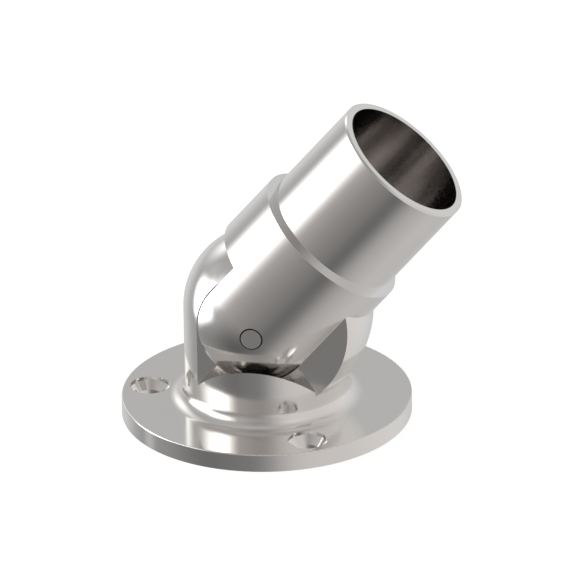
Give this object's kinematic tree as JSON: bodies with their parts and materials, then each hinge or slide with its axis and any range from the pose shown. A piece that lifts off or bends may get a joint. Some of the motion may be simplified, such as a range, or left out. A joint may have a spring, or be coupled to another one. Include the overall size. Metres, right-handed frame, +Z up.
{
  "type": "swivel base flange for a round handrail tube",
  "caption": "Round screw-down flange with a neck and flat-sided tongue, on which a forked collar with a hollow tube spigot swivels about a cross pin.",
  "frame": {"origin": "centre of the round flange on its mounting face", "axes": "+Z up from the mounting face along the neck, +X the way the spigot leans, Y along the pivot pin"},
  "size_m": [0.0894, 0.0752, 0.0861],
  "materials": {
    "polished_steel": "mirror-polished stainless steel",
    "pin_steel": "ground stainless steel"
  },
  "bodies": {
    "base": {"base_casting": "polished_steel"},
    "swivel": {"swivel_fork": "polished_steel", "pivot_pin": "pin_steel"}
  },
  "joints": [
    {"name": "swivel_pivot", "type": "hinge", "parent": "base", "child": "swivel", "pos_m": [0, 0, 0.0299], "axis": [0, 1, 0], "range_deg": [-40.2, 39.8]}
  ]
}
